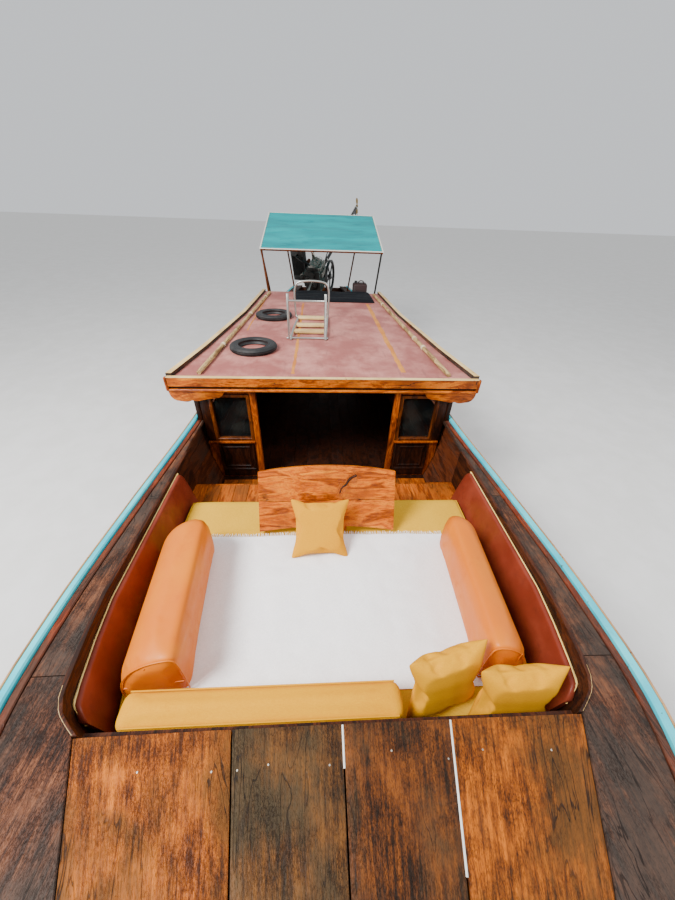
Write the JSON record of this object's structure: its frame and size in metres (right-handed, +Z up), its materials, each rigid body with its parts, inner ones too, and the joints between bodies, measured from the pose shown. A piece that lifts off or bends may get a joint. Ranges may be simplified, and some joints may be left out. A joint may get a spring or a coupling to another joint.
{
  "type": "longtail boat",
  "caption": "Wooden longtail boat with a cushioned picnic well, a low cabin with a roof deck, a stern canopy and a swivelling engine on a long lifted propeller shaft.",
  "frame": {"origin": "on the centreline amidships, at the waterline, below the middle of the footwell in front of the cabin", "axes": "+X to the bow, +Y to port, +Z up from the water"},
  "size_m": [14.9204, 2.776, 3.205],
  "materials": {
    "hull_paint": "worn brown paint on planks",
    "deck_wood": "oiled planks with worn patches",
    "side_wood": "weathered bare boards",
    "varnished_wood": "cracked clear varnish",
    "dark_wood": "dark oiled timber",
    "floor_wood": "worn orange-brown boards",
    "turquoise_paint": "chipped turquoise paint",
    "maroon_vinyl": "padded vinyl with cream piping",
    "orange_vinyl": "smooth vinyl, maroon inner side",
    "yellow_fabric": "plain woven cover",
    "khaki_fabric": "plain woven mattress cover",
    "white_fabric": "soft fringed blanket",
    "roof_sheet": "painted textured roof sheet",
    "tyre_rubber": "worn rubber",
    "ladder_steel": "stainless tube",
    "pole_wood": "bare peeled poles",
    "teal_tarp": "woven plastic tarpaulin",
    "dark_steel": "oily dark paint",
    "cast_iron": "oily cast surface",
    "fuel_can": "dark red-brown plastic",
    "prop_bronze": "tarnished bronze"
  },
  "bodies": {
    "root": {"topside_port_aft": "hull_paint", "topside_port_middle": "hull_paint", "topside_port_fore": "hull_paint", "topside_starboard_aft": "hull_paint", "topside_starboard_middle": "hull_paint", "topside_starboard_fore": "hull_paint", "bottom_planking": "hull_paint", "transom": "dark_wood", "keel_and_prow": "dark_wood", "rail_port": "turquoise_paint", "rail_starboard": "turquoise_paint", "side_deck_port_aft": "side_wood", "side_deck_port_fore": "side_wood", "side_deck_starboard_aft": "side_wood", "side_deck_starboard_fore": "side_wood", "foredeck_plank_1": "deck_wood", "foredeck_plank_2": "deck_wood", "foredeck_plank_3": "deck_wood", "foredeck_plank_4": "deck_wood", "bow_deck": "side_wood", "foredeck_frame": "dark_wood", "cockpit_floor": "floor_wood", "well_platform": "floor_wood", "coaming": "dark_wood", "backrest_port": "maroon_vinyl", "backrest_starboard": "maroon_vinyl", "mattress": "khaki_fabric", "blanket": "white_fabric", "bolster_port": "orange_vinyl", "bolster_starboard": "orange_vinyl", "bolster_front": "yellow_fabric", "cushion_centre": "yellow_fabric", "cushion_port_1": "yellow_fabric", "cushion_port_2": "yellow_fabric", "backboard": "varnished_wood", "bulkhead_port": "varnished_wood", "bulkhead_starboard": "varnished_wood", "cabin_side_port": "varnished_wood", "cabin_side_starboard": "varnished_wood", "cabin_portal": "varnished_wood", "roof": "roof_sheet", "fascia": "varnished_wood", "roof_pole_port": "pole_wood", "roof_pole_starboard": "pole_wood", "tyre_1": "tyre_rubber", "tyre_2": "tyre_rubber", "ladder": "ladder_steel", "stern_floor": "floor_wood", "bridge_deck": "dark_wood", "fuel_can": "fuel_can", "canopy_frame": "pole_wood", "canopy_tarp": "teal_tarp"},
    "swivel": {"swivel_yoke": "dark_steel"},
    "engine": {"engine_frame": "dark_steel", "engine_block": "cast_iron", "flywheel": "cast_iron", "radiator": "dark_steel", "tiller": "ladder_steel", "shaft_tube": "dark_steel"},
    "propeller": {"propeller": "prop_bronze"}
  },
  "joints": [
    {"name": "engine_swivel", "type": "hinge", "parent": "root", "child": "swivel", "pos_m": [-5.45, 0, 1.32], "axis": [0, 0, 1], "range_deg": [-17.7, 52.3]},
    {"name": "engine_tilt", "type": "hinge", "parent": "swivel", "child": "engine", "pos_m": [-5.45, 0, 1.32], "axis": [0.2974, 0.9548, 0], "range_deg": [-46, 0]},
    {"name": "propeller_spin", "type": "hinge", "parent": "engine", "child": "propeller", "pos_m": [-8.6263, 0.98931, 2.40737], "axis": [-0.9075, 0.2827, 0.3107], "continuous": true}
  ]
}
